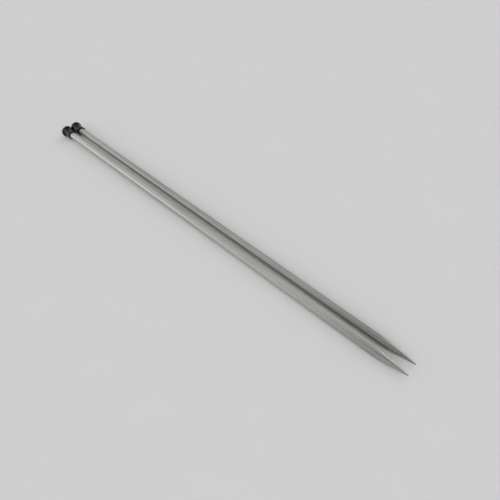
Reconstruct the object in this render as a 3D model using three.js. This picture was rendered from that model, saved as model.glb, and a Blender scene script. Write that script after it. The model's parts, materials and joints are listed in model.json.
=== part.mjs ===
// A pair of single-pointed knitting needles, put down side by side on a table.
// Millimetres, +Z up. +X runs from the knobs to the points, and the table is the plane z = 0.
// Each needle is a coated metal rod with a drawn-down point and a turned-down tail,
// and the tail sits in the blind bore of a moulded plastic knob that keeps the stitches on.

import * as THREE from "three";

// The needle and its rod
const NEEDLE_LENGTH = 350; // end face of the knob to the tip
const SHANK_DIAMETER = 5;
const POINT_HALF_ANGLE = THREE.MathUtils.degToRad(6.8); // of the straight cone
const NOSE_RADIUS = 0.45; // the blunt end that doesn't split the yarn
const SHOULDER_RADIUS = 78; // the long easy curve from the shank into the cone

// The rod's tail, hidden in the knob
const TAIL_STEP = 0.3; // how much the tail's radius is less than the shank's
const TAIL_CHAMFER = 0.4;
const STEP_CHAMFER = 0.15;
const GRIP_PITCH = 1.6;
const GRIP_WIDTH = 0.7;
const GRIP_DEPTH = 0.2;

// The knob, from its end face to its mouth
const HEAD_DIAMETER = 8.7;
const CROWN_DEPTH = 1.25;
const CROWN_WIDTH = 1.65; // flat end face to the head's full radius
const HEAD_BAND = 0.6;
const THROAT_LENGTH = 1.75; // the head draws in to the waist over this length
const SLEEVE_LENGTH = 7.8;
const END_THICKNESS = 2.9; // solid plastic behind the blind bore
const WAIST_WALL = 0.7;
const MOUTH_WALL = 0.55;
const MOUTH_DEPTH = 1.5; // the recess that takes the start of the full shank
const LIP_RADIUS = 0.2;

// The fit of the rod in the knob
const RADIAL_CLEARANCE = 0.3;
const AXIAL_CLEARANCE = 0.3;

// How the two needles lie
const KNOB_GAP = 0.5; // between the two heads
const POINT_GAP = 3.6; // between the two shanks, where they end in the tips
const FRONT_ADVANCE = 2.4; // the front needle lies this much further towards the points

// Facets round every turned or moulded form
const FACETS = 40;

const shankRadius = SHANK_DIAMETER / 2;
const tailRadius = shankRadius - TAIL_STEP;
const boreRadius = tailRadius + RADIAL_CLEARANCE;
const mouthBoreRadius = shankRadius + RADIAL_CLEARANCE;
const headRadius = HEAD_DIAMETER / 2;
const waistRadius = boreRadius + WAIST_WALL;
const mouthRadius = mouthBoreRadius + MOUTH_WALL;
const knobLength = CROWN_DEPTH + HEAD_BAND + THROAT_LENGTH + SLEEVE_LENGTH;
const tailStart = END_THICKNESS + AXIAL_CLEARANCE;
const shankStart = knobLength - MOUTH_DEPTH + AXIAL_CLEARANCE;

// The point is a nose, a cone that is tangent to it, and a shoulder that is tangent to both the
// cone and the shank. Its length follows from these three.
const shoulderDrop = SHOULDER_RADIUS * (1 - Math.cos(POINT_HALF_ANGLE));
const noseShoulderRise = shankRadius - shoulderDrop - NOSE_RADIUS * Math.cos(POINT_HALF_ANGLE);
const noseLength = NOSE_RADIUS * (1 - Math.sin(POINT_HALF_ANGLE));
const coneLength = noseShoulderRise / Math.tan(POINT_HALF_ANGLE);
const shoulderLength = SHOULDER_RADIUS * Math.sin(POINT_HALF_ANGLE);
const pointStart = NEEDLE_LENGTH - noseLength - coneLength - shoulderLength;

// A point of a profile: radius from the needle's axis, and distance from the knob's end face.
function at(radius, along) {
  return new THREE.Vector2(radius, along);
}

// An arc of a profile, from one angle to another, anticlockwise.
function arc(centre, width, height, from, to, steps) {
  return new THREE.EllipseCurve(centre.x, centre.y, width, height, from, to).getPoints(steps);
}

// Turns a profile about the needle's axis, which is laid along +X. A facet faces straight down,
// so that the turned form lies on a flat and not on an edge.
function turned(...runs) {
  const apart = (point, i, all) => i === 0 || point.distanceTo(all[i - 1]) > 1e-6;
  const profile = runs.flat().filter(apart);
  const geometry = new THREE.LatheGeometry(profile, FACETS, Math.PI / FACETS);
  return geometry.rotateZ(-Math.PI / 2);
}

// The rolled grooves on the tail, which the plastic grips: as many as its length holds.
function gripGrooves() {
  const first = tailStart + TAIL_CHAMFER + GRIP_PITCH / 2;
  const last = shankStart - GRIP_PITCH;
  const grooves = [];
  for (let start = first; start + GRIP_WIDTH < last; start += GRIP_PITCH) {
    const groove = new THREE.QuadraticBezierCurve(
      at(tailRadius, start),
      at(tailRadius - 2 * GRIP_DEPTH, start + GRIP_WIDTH / 2),
      at(tailRadius, start + GRIP_WIDTH),
    );
    grooves.push(...groove.getPoints(4));
  }
  return grooves;
}

function shaftGeometry() {
  const shoulderCentre = at(shankRadius - SHOULDER_RADIUS, pointStart);
  const noseCentre = at(0, NEEDLE_LENGTH - NOSE_RADIUS);
  return turned(
    [at(0, tailStart), at(tailRadius - TAIL_CHAMFER, tailStart)],
    [at(tailRadius, tailStart + TAIL_CHAMFER)],
    gripGrooves(),
    [at(tailRadius, shankStart), at(shankRadius - STEP_CHAMFER, shankStart)],
    [at(shankRadius, shankStart + STEP_CHAMFER)],
    arc(shoulderCentre, SHOULDER_RADIUS, SHOULDER_RADIUS, 0, POINT_HALF_ANGLE, 8),
    arc(noseCentre, NOSE_RADIUS, NOSE_RADIUS, POINT_HALF_ANGLE, Math.PI / 2, 5),
  );
}

// The head's underside sweeps into the waist, and the sleeve flares gently from there to the
// mouth, like a short trumpet.
function knobGeometry() {
  const bandEnd = CROWN_DEPTH + HEAD_BAND;
  const waist = bandEnd + THROAT_LENGTH;
  const lipStart = knobLength - LIP_RADIUS;
  const throat = new THREE.CubicBezierCurve(
    at(headRadius, bandEnd),
    at(headRadius, bandEnd + THROAT_LENGTH / 2),
    at(waistRadius, waist - THROAT_LENGTH / 2),
    at(waistRadius, waist),
  );
  const flare = new THREE.QuadraticBezierCurve(
    at(waistRadius, waist),
    at(waistRadius, waist + SLEEVE_LENGTH / 2),
    at(mouthRadius, lipStart),
  );
  const crownCentre = at(headRadius - CROWN_WIDTH, CROWN_DEPTH);
  const lipCentre = at(mouthRadius - LIP_RADIUS, lipStart);
  return turned(
    [at(0, 0)],
    arc(crownCentre, CROWN_WIDTH, CROWN_DEPTH, -Math.PI / 2, 0, 7),
    throat.getPoints(8),
    flare.getPoints(5),
    arc(lipCentre, LIP_RADIUS, LIP_RADIUS, 0, Math.PI / 2, 3),
    [at(mouthBoreRadius, knobLength), at(mouthBoreRadius, knobLength - MOUTH_DEPTH)],
    [at(boreRadius, knobLength - MOUTH_DEPTH), at(boreRadius, END_THICKNESS)],
    [at(0, END_THICKNESS)],
  );
}

function shaft(name) {
  const coating = new THREE.MeshStandardMaterial({
    color: 0xa3a49c,
    roughness: 0.42,
    metalness: 0.35,
  });
  const mesh = new THREE.Mesh(shaftGeometry(), coating);
  mesh.name = name;
  return mesh;
}

function knob(name) {
  const plastic = new THREE.MeshStandardMaterial({
    color: 0x151517,
    roughness: 0.25,
    metalness: 0,
  });
  const mesh = new THREE.Mesh(knobGeometry(), plastic);
  mesh.name = name;
  return mesh;
}

// A needle at rest touches the table with its knob's head and with the shank where the point
// starts, so its axis dips a little towards the point.
function restingTilt() {
  const flatToCorner = Math.cos(Math.PI / FACETS);
  const rise = (headRadius - shankRadius) * flatToCorner;
  return Math.atan(rise / (pointStart - CROWN_DEPTH - HEAD_BAND));
}

// One needle, with its knob's end face at the group's origin and its axis along the group's +X.
function needle(name) {
  const group = new THREE.Group();
  group.add(shaft(name + "_shaft"), knob(name + "_knob"));
  group.rotation.y = restingTilt();
  return group;
}

// Puts a needle down on one side of the middle line, turned in a little towards the points.
function putDown(piece, side, advance) {
  const spacingAtKnobs = HEAD_DIAMETER + KNOB_GAP;
  const spacingAtPoints = SHANK_DIAMETER + POINT_GAP;
  const toe = Math.atan((spacingAtKnobs - spacingAtPoints) / 2 / NEEDLE_LENGTH);
  const place = new THREE.Group();
  place.add(piece);
  place.position.set(advance, (side * spacingAtKnobs) / 2, 0);
  place.rotation.z = -side * toe;
  return place;
}

const pair = new THREE.Group();
pair.add(putDown(needle("rear"), 1, 0), putDown(needle("front"), -1, FRONT_ADVANCE));

// The origin is under the middle of the pair, on the table.
pair.updateMatrixWorld(true);
const extent = new THREE.Box3().setFromObject(pair, true);
const middle = extent.getCenter(new THREE.Vector3());
pair.position.set(-middle.x, -middle.y, -extent.min.z);

export default pair;
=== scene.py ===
# A pair of single-pointed knitting needles, put down side by side on a pale table.
# Metres, +Z up. The needles lie along +X, with the knobs at the low end and the points at the high
# end. Each turned piece is drawn about its needle's axis, with distances along it counted from the
# knob's end face, and is then laid where that needle lies.

import json
import math

import bmesh
import bpy
from mathutils import Matrix, Vector


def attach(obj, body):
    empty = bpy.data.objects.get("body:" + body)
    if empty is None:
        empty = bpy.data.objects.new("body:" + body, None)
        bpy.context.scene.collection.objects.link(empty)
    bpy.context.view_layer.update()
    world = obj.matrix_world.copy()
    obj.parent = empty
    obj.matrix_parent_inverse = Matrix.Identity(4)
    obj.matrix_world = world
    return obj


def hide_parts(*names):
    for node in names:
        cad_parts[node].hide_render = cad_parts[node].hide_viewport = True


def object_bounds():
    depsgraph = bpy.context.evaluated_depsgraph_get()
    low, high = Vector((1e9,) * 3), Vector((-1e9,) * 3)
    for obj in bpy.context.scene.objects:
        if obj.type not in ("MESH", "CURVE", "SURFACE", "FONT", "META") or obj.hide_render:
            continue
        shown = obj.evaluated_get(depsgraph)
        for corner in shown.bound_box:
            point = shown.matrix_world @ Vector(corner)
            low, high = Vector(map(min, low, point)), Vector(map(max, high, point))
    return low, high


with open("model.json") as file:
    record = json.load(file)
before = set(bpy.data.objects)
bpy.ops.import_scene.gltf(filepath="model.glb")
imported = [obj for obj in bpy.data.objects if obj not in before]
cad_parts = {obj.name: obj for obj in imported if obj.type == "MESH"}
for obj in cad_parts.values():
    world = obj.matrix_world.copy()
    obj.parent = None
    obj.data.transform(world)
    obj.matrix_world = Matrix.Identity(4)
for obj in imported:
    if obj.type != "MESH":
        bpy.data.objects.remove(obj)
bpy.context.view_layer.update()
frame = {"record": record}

# The two rods. Each is one length of aluminium wire, drawn to size. One end is swaged and ground to
# a long point, and the other is turned down and rolled with grooves that the knob grips. A satin
# grey lacquer is baked on over the whole rod.
needle_length = 0.350
shank_radius = 0.0025
point_half_angle = math.radians(6.8)
nose_radius = 0.00034
shoulder_radius = 0.078  # the long easy curve from the shank into the cone
tail_step = 0.0003  # how much less the tail's radius is than the shank's
tail_chamfer = 0.0004
step_chamfer = 0.00015
groove_pitch = 0.0016
groove_width = 0.0007
groove_depth = 0.0002
knob_length = 0.0114
mouth_depth = 0.0015  # the recess in the knob's mouth, where the full shank starts
bore_floor = 0.0029
rod_gap = 0.0003  # between the rod and the knob, round the rod and at its end
rod_sides = 128
shank_ring_spacing = 0.004
same_place = 1e-7  # points nearer to each other than this are one point
sharp_edge = math.radians(32)  # an edge that turns more than this isn't smoothed
rolls = {"rear": 0.4, "front": 2.9}  # radians that each needle has rolled about its axis
painted_rod_shades = {"rear": 0.86, "front": 1.05}  # painted shade on the rear rod, painted light on the front
lacquer_colour = (0.455, 0.461, 0.424)
lacquer_relief = 0.000006

tail_radius = shank_radius - tail_step
tail_start = bore_floor + rod_gap
shank_start = knob_length - mouth_depth + rod_gap

# The point is a shoulder, a cone and a nose, each tangent to the next. Its length follows from them.
shoulder_drop = shoulder_radius * (1 - math.cos(point_half_angle))
shoulder_length = shoulder_radius * math.sin(point_half_angle)
nose_length = nose_radius * (1 - math.sin(point_half_angle))
cone_rise = shank_radius - shoulder_drop - nose_radius * math.cos(point_half_angle)
cone_length = cone_rise / math.tan(point_half_angle)
point_start = needle_length - nose_length - cone_length - shoulder_length


def point_at(along, radius):
    """A point of an outline: how far it is along the needle, and how far from the needle's axis."""
    return Vector((along, radius))


def straight(start, end, steps):
    """The points of a straight run of an outline."""
    return [start.lerp(end, step / steps) for step in range(steps + 1)]


def rounded(centre, half_length, half_width, start, end, steps):
    """The points of a round or oval run of an outline, from one angle to another."""
    angles = [start + (end - start) * step / steps for step in range(steps + 1)]
    return [centre + point_at(half_length * math.cos(a), half_width * math.sin(a)) for a in angles]


def swept(start, pulls, end, steps):
    """The points of a curved run of an outline, drawn from start towards each pull in turn to end."""
    run = []
    for step in range(steps + 1):
        points = [start, *pulls, end]
        while len(points) > 1:
            points = [a.lerp(b, step / steps) for a, b in zip(points, points[1:])]
        run.append(points[0])
    return run


def evenly(sides):
    """The angles of the corners of a round with so many sides."""
    return [2 * math.pi * side / sides for side in range(sides)]


def turned(name, runs, angles, swell=None):
    """A piece turned about its own axis from the runs of its outline, which starts and ends there.
    swell, if given, says from a point's radius and angle how far it stands proud."""
    outline = []
    for run in runs:
        for point in run:
            if not outline or (point - outline[-1]).length > same_place:
                outline.append(point)
    mesh = bmesh.new()
    drawn = mesh.verts.layers.float_vector.new("drawn")
    rings = []
    for along, radius in outline:
        if radius < same_place:
            rings.append([mesh.verts.new((along, 0, 0))] * len(angles))
            continue
        ring = []
        for angle in angles:
            reach = radius + (swell(radius, angle) if swell else 0)
            ring.append(mesh.verts.new((along, reach * math.cos(angle), reach * math.sin(angle))))
        rings.append(ring)
    for lower, upper in zip(rings, rings[1:]):
        for side in range(len(angles)):
            after = (side + 1) % len(angles)
            corners = [lower[side], lower[after], upper[after], upper[side]]
            # Next to the axis two of the corners are one point, and the face is a triangle.
            mesh.faces.new(list(dict.fromkeys(corners)))
    for corner in mesh.verts:
        corner[drawn] = corner.co
    bmesh.ops.recalc_face_normals(mesh, faces=mesh.faces)
    data = bpy.data.meshes.new(name)
    mesh.to_mesh(data)
    mesh.free()
    data.shade_smooth()
    data.set_sharp_from_angle(angle=sharp_edge)
    piece = bpy.data.objects.new(name, data)
    bpy.context.collection.objects.link(piece)
    return piece


def tail_grooves():
    """The rolled grooves, each as one run, and as many as the tail's length holds."""
    grooves = []
    start = tail_start + tail_chamfer + groove_pitch / 2
    while start + groove_width < shank_start - groove_pitch:
        grooves.append(swept(
            point_at(start, tail_radius),
            [point_at(start + groove_width / 2, tail_radius - 2 * groove_depth)],
            point_at(start + groove_width, tail_radius),
            steps=8,
        ))
        start += groove_pitch
    return grooves


def rod_outline():
    """The tail with its grooves, the step up to the shank, the shank, and the point to its tip."""
    upright = math.pi / 2
    square_to_cone = upright - point_half_angle
    shoulder = rounded(
        point_at(point_start, shank_radius - shoulder_radius),
        shoulder_radius,
        shoulder_radius,
        upright,
        square_to_cone,
        steps=16,
    )
    nose_centre = point_at(needle_length - nose_radius, 0)
    nose = rounded(nose_centre, nose_radius, nose_radius, square_to_cone, 0, steps=12)
    return [
        [point_at(tail_start, 0), point_at(tail_start, tail_radius - tail_chamfer)],
        [point_at(tail_start + tail_chamfer, tail_radius)],
        *tail_grooves(),
        [point_at(shank_start, tail_radius), point_at(shank_start, shank_radius - step_chamfer)],
        straight(
            point_at(shank_start + step_chamfer, shank_radius),
            point_at(point_start, shank_radius),
            steps=round((point_start - shank_start) / shank_ring_spacing),
        ),
        shoulder,
        straight(shoulder[-1], nose[0], steps=10),
        nose,
    ]


# The record says where each knob's end face is, and which way it faces.
ends = {mount["name"]: mount for mount in frame["record"]["mounts"]}


def lay(piece, side):
    """Lays a turned piece where its needle lies, rolled about the needle's axis as it came to rest."""
    end = ends[side + "_knob_end"]
    towards_point = -Vector(end["axis"])
    turn = towards_point.to_track_quat("X", "Z").to_matrix().to_4x4()
    place = Matrix.Translation(end["pos_m"]) @ turn @ Matrix.Rotation(rolls[side], 4, "X")
    piece.data.transform(place)
    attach(piece, side + "_needle")


def added(material, kind, inputs, **settings):
    """A new node. Its inputs are numbers, colours or other nodes' outputs, by name or place."""
    node = material.node_tree.nodes.new("ShaderNode" + kind)
    for setting, value in settings.items():
        setattr(node, setting, value)
    for socket, value in inputs.items():
        if isinstance(value, bpy.types.NodeSocket):
            material.node_tree.links.new(value, node.inputs[socket])
        else:
            node.inputs[socket].default_value = value
    return node


def grain(material, place, length, width, detail=2):
    """Uneven marks, so long along the piece and so wide across it, as a number near one half."""
    scale = (1 / length, 1 / width, 1 / width)
    fitted = added(material, "Mapping", {"Vector": place, "Scale": scale})
    marks = added(material, "TexNoise", {"Vector": fitted.outputs[0], "Scale": 1, "Detail": detail})
    return marks.outputs["Fac"]


usual_marks = (0.3, 0.7)  # nearly all the marks of a grain lie between these numbers


def fitted_to(material, value, span, limits):
    """The first limit where the value is at the start of its span, the second where it is at the
    end, and smooth between them."""
    inputs = {
        "Value": value,
        "From Min": span[0],
        "From Max": span[1],
        "To Min": limits[0],
        "To Max": limits[1],
    }
    return added(material, "MapRange", inputs, interpolation_type="SMOOTHSTEP").outputs["Result"]


def multiplied(material, first, *others):
    """The product of numbers that change over the surface."""
    product = first
    for other in others:
        product = added(material, "Math", {0: product, 1: other}, operation="MULTIPLY").outputs[0]
    return product


def added_up(material, first, *others):
    """The sum of numbers that change over the surface."""
    total = first
    for other in others:
        total = added(material, "Math", {0: total, 1: other}, operation="ADD").outputs[0]
    return total


def shaded(material, colour, strength):
    """A colour made lighter or darker by a number that changes over the surface."""
    inputs = {0: colour, "Scale": strength}
    return added(material, "VectorMath", inputs, operation="SCALE").outputs[0]


def new_finish(name):
    """A new material, its shader, and the function that links an output to the shader."""
    material = bpy.data.materials.new(name)
    material.use_nodes = True
    return material, material.node_tree.nodes["Principled BSDF"], material.node_tree.links.new


# Where the lacquer changes along the rod: painted shade darkens it next to the knob's mouth and
# towards the point, it is rubbed by yarn towards the point, and it is worn at the nose.
mouth_run = (knob_length, knob_length + 0.0012)
rubbed_run = (point_start - 0.050, point_start + 0.004)
point_shade_run = (point_start - 0.070, needle_length - 0.006)
worn_run = (needle_length - 0.0012, needle_length - 0.0001)

# A patch begins where a grain's marks reach the first number, and is full where they reach the
# second.
rubbed_patches = (0.35, 0.6)
worn_patches = (0.4, 0.55)

# How light the lacquer is there, as a share (painted shade at the mouth and towards the point,
# real wear at the nose), and what wear has taken off its roughness.
painted_mouth_shade = 0.8
painted_point_shade = 0.72
worn_shade = 1.15
rubbed_polish = 0.09
worn_polish = 0.04

# Each kind of mark's share of the relief. Yarn brings the peel's from its first to its second.
line_share = 0.5
peel_shares = (0.7, 0.15)
powder_share = 0.12
yarn_share = 0.2


def grey_lacquer(name, painted_shade_of_rod):
    """Satin grey lacquer with metal powder in it. The wire's drawing lines show through it, and yarn
    has rubbed it smoother towards the point. Painted shade darkens it next to the knob's mouth and
    towards the point, and the whole rod is painted lighter or darker by the share it is given."""
    material, shader, link = new_finish(name)
    drawn = added(material, "Attribute", {}, attribute_name="drawn").outputs["Vector"]
    along = added(material, "SeparateXYZ", {0: drawn}).outputs["X"]
    cloud = grain(material, drawn, length=0.018, width=0.004, detail=3)
    powder = grain(material, drawn, length=0.00016, width=0.00016, detail=1)
    drawing_lines = grain(material, drawn, length=0.05, width=0.00022, detail=3)
    yarn_rings = grain(material, drawn, length=0.0003, width=0.009)
    peel = grain(material, drawn, length=0.0009, width=0.0007)

    rubbed = multiplied(
        material,
        fitted_to(material, along, rubbed_run, (0, 1)),
        fitted_to(material, cloud, rubbed_patches, (0.5, 1)),
    )
    worn_nose = multiplied(
        material,
        fitted_to(material, along, worn_run, (0, 1)),
        fitted_to(material, peel, worn_patches, (0, 1)),
    )
    strength = multiplied(
        material,
        fitted_to(material, cloud, usual_marks, (0.96, 1.04)),
        fitted_to(material, powder, usual_marks, (0.95, 1.05)),
        fitted_to(material, drawing_lines, usual_marks, (0.97, 1.03)),
        # Painted shade: the lacquer is painted darker towards the point.
        fitted_to(material, along, point_shade_run, (1, painted_point_shade)),
        # Painted shade: the lacquer is painted darker next to the knob's mouth.
        fitted_to(material, along, mouth_run, (painted_mouth_shade, 1)),
        fitted_to(material, worn_nose, (0, 1), (1, worn_shade)),
    )
    # Painted light or shade: the whole rod's lacquer is painted lighter or darker by its share.
    colour = [painted_shade_of_rod * part for part in lacquer_colour]
    link(shaded(material, colour, strength), shader.inputs["Base Color"])
    shader.inputs["Metallic"].default_value = 0.85
    roughness = added_up(
        material,
        fitted_to(material, cloud, usual_marks, (0.34, 0.39)),
        fitted_to(material, drawing_lines, usual_marks, (-0.03, 0.03)),
        multiplied(material, rubbed, -rubbed_polish),
        multiplied(material, worn_nose, -worn_polish),
    )
    link(roughness, shader.inputs["Roughness"])
    relief = added_up(
        material,
        multiplied(material, drawing_lines, line_share),
        multiplied(material, peel, fitted_to(material, rubbed, (0, 1), peel_shares)),
        multiplied(material, powder, powder_share),
        multiplied(material, yarn_rings, rubbed, yarn_share),
    )
    bump = added(material, "Bump", {"Height": relief, "Distance": lacquer_relief})
    link(bump.outputs["Normal"], shader.inputs["Normal"])
    return material


for side in ("rear", "front"):
    rod = turned(side + "_rod", rod_outline(), evenly(rod_sides))
    lay(rod, side)
    # Each needle gets its own copy of the lacquer, painted lighter (front) or darker (rear).
    rod.data.materials.append(grey_lacquer(side + "_lacquer", painted_rod_shades[side]))
    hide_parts(side + "_shaft")

# The two knobs. Each is injection moulded in glossy black plastic, in two half moulds that leave a
# fine ridge down either side, and is pressed over the rod's grooved tail. Its wide head keeps the
# stitches on, and its sleeve flares to a recessed mouth.
head_radius = 0.00435
crown_depth = 0.00125
crown_width = 0.00165  # from the edge of the flat end face to the head's full radius
head_band = 0.0009
throat_length = 0.0022  # the head draws in to the waist over this length
waist_wall = 0.0007
mouth_wall = 0.00055
lip_radius = 0.0002
parting_height = 0.00003
parting_width = 0.00012
gate_radius = 0.0006  # the mark in the end face where the plastic was let in
gate_depth = 0.00012
knob_sides = 144
parting_turns = (-2, -1.5, -1, -0.5, 0.5, 1, 1.5, 2)  # degrees to either side of a parting line
plastic_colour = (0.0032, 0.0032, 0.0035)
plastic_relief = 0.000004

sleeve_length = knob_length - crown_depth - head_band - throat_length
bore_radius = tail_radius + rod_gap
waist_radius = bore_radius + waist_wall
mouth_bore_radius = shank_radius + rod_gap
mouth_radius = mouth_bore_radius + mouth_wall


def knob_outline():
    """The end face with its gate mark, the head, the throat, the sleeve, the lip and the bore."""
    quarter = math.pi / 2
    face_radius = head_radius - crown_width
    crown_centre = point_at(crown_depth, face_radius)
    band_end = crown_depth + head_band
    waist = band_end + throat_length
    lip_start = knob_length - lip_radius
    lip_centre = point_at(lip_start, mouth_radius - lip_radius)
    bore_step = knob_length - mouth_depth
    return [
        straight(point_at(gate_depth, 0), point_at(gate_depth, gate_radius - gate_depth), steps=3),
        straight(point_at(0, gate_radius), point_at(0, face_radius), steps=4),
        rounded(crown_centre, crown_depth, crown_width, 2 * quarter, quarter, steps=14),
        straight(point_at(crown_depth, head_radius), point_at(band_end, head_radius), steps=2),
        swept(
            point_at(band_end, head_radius),
            [
                point_at(band_end + throat_length / 2, head_radius),
                point_at(waist - throat_length / 2, waist_radius),
            ],
            point_at(waist, waist_radius),
            steps=20,
        ),
        swept(
            point_at(waist, waist_radius),
            [point_at(waist + sleeve_length / 2, waist_radius)],
            point_at(lip_start, mouth_radius),
            steps=16,
        ),
        rounded(lip_centre, lip_radius, lip_radius, quarter, 0, steps=6),
        [point_at(knob_length, mouth_bore_radius), point_at(bore_step, mouth_bore_radius)],
        [point_at(bore_step, bore_radius), point_at(bore_floor, bore_radius)],
        [point_at(bore_floor, 0)],
    ]


def knob_angles():
    """The angles round the knob, closer together at the two parting lines."""
    close = [math.radians(turn) for turn in parting_turns]
    at_lines = [(line + turn) % math.tau for line in (0, math.pi) for turn in close]
    return sorted(evenly(knob_sides) + at_lines)


def parting_line(radius, angle):
    """How far the knob stands proud: a fine ridge down either side, and none on its end or inside."""
    if radius <= mouth_bore_radius:
        return 0
    off_line = math.remainder(angle, math.pi) * radius
    return parting_height * math.exp(-((off_line / parting_width) ** 2))


# Only the highest marks of a grain show as scratches, and the head's edge is scuffed in patches.
scratch_peaks = (0.66, 0.74)
scuff_width = 0.00018
scuffed_patches = (0.4, 0.62)

# How much lighter and duller the plastic is there, and the share of the relief.
scratch_lightening = 0.6
scratch_dulling = 0.12
scratch_share = 0.6
scuff_lightening = 2.0
scuff_dulling = 0.16
scuff_share = 0.8


def black_moulding():
    """Black plastic with the mould's fine polish. It has a thin haze, hairline scratches from lying
    among other needles, and a scuffed edge round the widest part of the head."""
    material, shader, link = new_finish("black_moulding")
    drawn = added(material, "Attribute", {}, attribute_name="drawn").outputs["Vector"]
    place = added(material, "SeparateXYZ", {0: drawn}).outputs
    across = added(material, "CombineXYZ", {"Y": place["Y"], "Z": place["Z"]}).outputs[0]
    radius = added(material, "VectorMath", {0: across}, operation="LENGTH").outputs["Value"]
    haze = grain(material, drawn, length=0.003, width=0.002, detail=4)
    polish = grain(material, drawn, length=0.0005, width=0.0005, detail=3)
    long_scratches = grain(material, drawn, length=0.004, width=0.00005, detail=1)
    round_scratches = grain(material, drawn, length=0.00005, width=0.004, detail=1)

    scratched = added_up(
        material,
        fitted_to(material, long_scratches, scratch_peaks, (0, 1)),
        fitted_to(material, round_scratches, scratch_peaks, (0, 1)),
    )
    scuffed = multiplied(
        material,
        fitted_to(material, radius, (head_radius - scuff_width, head_radius), (0, 1)),
        fitted_to(material, haze, scuffed_patches, (0, 1)),
    )
    strength = added_up(
        material,
        fitted_to(material, haze, usual_marks, (0.8, 1.2)),
        multiplied(material, scratched, scratch_lightening),
        multiplied(material, scuffed, scuff_lightening),
    )
    link(shaded(material, plastic_colour, strength), shader.inputs["Base Color"])
    roughness = added_up(
        material,
        fitted_to(material, haze, usual_marks, (0.12, 0.19)),
        multiplied(material, scratched, scratch_dulling),
        multiplied(material, scuffed, scuff_dulling),
    )
    link(roughness, shader.inputs["Roughness"])
    shader.inputs["Specular IOR Level"].default_value = 0.18
    relief = added_up(
        material,
        polish,
        multiplied(material, scratched, -scratch_share),
        multiplied(material, scuffed, long_scratches, scuff_share),
    )
    bump = added(material, "Bump", {"Height": relief, "Distance": plastic_relief})
    link(bump.outputs["Normal"], shader.inputs["Normal"])
    return material


moulding = black_moulding()
for side in ("rear", "front"):
    knob = turned(side + "_stop_knob", knob_outline(), knob_angles(), swell=parting_line)
    lay(knob, side)
    knob.data.materials.append(moulding)
    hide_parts(side + "_knob")

# The table is one plain sheet of smooth pale paper, laid flat and far wider than the view. The two
# needles lie loose on it, so it is level with their lowest point.
table_radius = 18.0
table_sides = 96
table_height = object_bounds()[0].z
paper_colour = (0.612, 0.606, 0.616)
paper_tooth = 0.000008


def table_top():
    """The flat sheet, as one face."""
    sheet = bmesh.new()
    bmesh.ops.create_circle(sheet, cap_ends=True, radius=table_radius, segments=table_sides)
    data = bpy.data.meshes.new("table_top")
    sheet.to_mesh(data)
    sheet.free()
    top = bpy.data.objects.new("table_top", data)
    top.location.z = table_height
    bpy.context.collection.objects.link(top)
    return top


def pale_paper():
    """Smooth matt paper, with the faint cloudiness and the fine tooth that paper has."""
    material, shader, link = new_finish("pale_paper")
    flat = added(material, "TexCoord", {}).outputs["Object"]
    cloudiness = grain(material, flat, length=0.03, width=0.03, detail=3)
    tooth = grain(material, flat, length=0.0005, width=0.0005, detail=3)
    strength = multiplied(
        material,
        fitted_to(material, cloudiness, usual_marks, (0.996, 1.004)),
        fitted_to(material, tooth, usual_marks, (0.985, 1.015)),
    )
    link(shaded(material, paper_colour, strength), shader.inputs["Base Color"])
    shader.inputs["Roughness"].default_value = 0.9
    shader.inputs["Specular IOR Level"].default_value = 0
    bump = added(material, "Bump", {"Height": tooth, "Distance": paper_tooth})
    link(bump.outputs["Normal"], shader.inputs["Normal"])
    return material


table = table_top()
table.data.materials.append(pale_paper())

# Soft studio light in a plain pale room, whose walls are as pale as the table and whose ceiling is
# dim. A wide soft lamp stands on the camera's side with a weaker one beside it. Others beyond the
# needles light their far sides, and small ones past the knobs put the long gleams on the rods.
wall_tone = (0.614, 0.609, 0.617)
room_tones = (
    (0.0, wall_tone),
    (0.2, wall_tone),
    (0.45, (0.47, 0.465, 0.468)),
    (0.7, (0.33, 0.327, 0.33)),
    (1.0, (0.25, 0.248, 0.25)),
)


def pale_room():
    """The light that comes from all round, by how high in the room it comes from: 0 is level with
    the table, and 1 is straight above it."""
    room = bpy.data.worlds.new("pale_room")
    room.use_nodes = True
    nodes = room.node_tree.nodes
    link = room.node_tree.links.new
    towards = nodes.new("ShaderNodeTexCoord")
    height = nodes.new("ShaderNodeSeparateXYZ")
    walls = nodes.new("ShaderNodeValToRGB")
    link(towards.outputs["Generated"], height.inputs[0])
    link(height.outputs["Z"], walls.inputs[0])
    link(walls.outputs["Color"], nodes["Background"].inputs["Color"])
    bands = walls.color_ramp.elements
    while len(bands) < len(room_tones):
        bands.new(1)
    for band, (place, tone) in zip(bands, room_tones):
        band.position = place
        band.color = (*tone, 1)
    return room


bpy.context.scene.world = pale_room()


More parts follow.
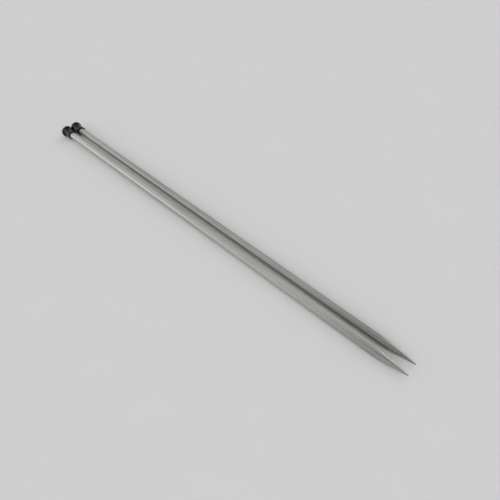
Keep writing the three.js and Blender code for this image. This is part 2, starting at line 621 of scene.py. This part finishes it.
def soft_lamp(name, azimuth, elevation, spread, level):
    """A lamp far away, in a direction turned from +X towards +Y and up from the table. spread is
    how wide it looks from the table, and like the direction it is in degrees. level is how bright
    it would make white paper that faces it, where 1 is white."""
    light = bpy.data.lights.new(name, "SUN")
    light.angle = math.radians(spread)
    light.energy = math.pi * level
    lamp = bpy.data.objects.new(name, light)
    across = math.cos(math.radians(elevation))
    towards = Vector((
        across * math.cos(math.radians(azimuth)),
        across * math.sin(math.radians(azimuth)),
        math.sin(math.radians(elevation)),
    ))
    lamp.rotation_mode = "QUATERNION"
    lamp.rotation_quaternion = (-towards).to_track_quat("-Z", "Y")
    bpy.context.collection.objects.link(lamp)


soft_lamp("front_lamp", azimuth=-40, elevation=32, spread=58, level=0.72)
soft_lamp("fill_lamp", azimuth=-68, elevation=12, spread=40, level=0.16)
soft_lamp("far_lamp", azimuth=92, elevation=32, spread=34, level=0.14)
soft_lamp("over_lamp", azimuth=100, elevation=60, spread=40, level=0.06)
soft_lamp("edge_lamp", azimuth=110, elevation=8, spread=24, level=0.06)
soft_lamp("end_lamp", azimuth=176, elevation=15, spread=26, level=0.11)
soft_lamp("high_lamp", azimuth=180, elevation=60, spread=40, level=0.06)
soft_lamp("low_lamp", azimuth=217, elevation=8, spread=18, level=0.045)
soft_lamp("gleam_lamp", azimuth=207, elevation=16, spread=12, level=0.016)
soft_lamp("left_lamp", azimuth=229, elevation=24, spread=34, level=0.016)

# The camera stands beyond the points, on the front needle's side, and looks down along the needles
# from the place that the photograph was taken from.
camera_azimuth = math.radians(50.01)  # turned from -Y towards +X
camera_elevation = math.radians(35.49)
camera_distance = 0.388
camera_aim = Vector((0.0465, 0.0063, 0))
camera_lens = 45.6  # millimetres, as the width of the sensor is
sensor_width = 36

camera_data = bpy.data.cameras.new("camera")
camera_data.sensor_width = sensor_width
camera_data.lens = camera_lens
camera_data.clip_start = 0.01
camera_data.clip_end = 20
camera = bpy.data.objects.new("camera", camera_data)
back = Vector((
    math.sin(camera_azimuth) * math.cos(camera_elevation),
    -math.cos(camera_azimuth) * math.cos(camera_elevation),
    math.sin(camera_elevation),
))
camera.location = camera_aim + back * camera_distance
camera.rotation_mode = "QUATERNION"
camera.rotation_quaternion = (-back).to_track_quat("-Z", "Y")
bpy.context.collection.objects.link(camera)
bpy.context.scene.camera = camera
bpy.context.scene.view_settings.view_transform = "Standard"
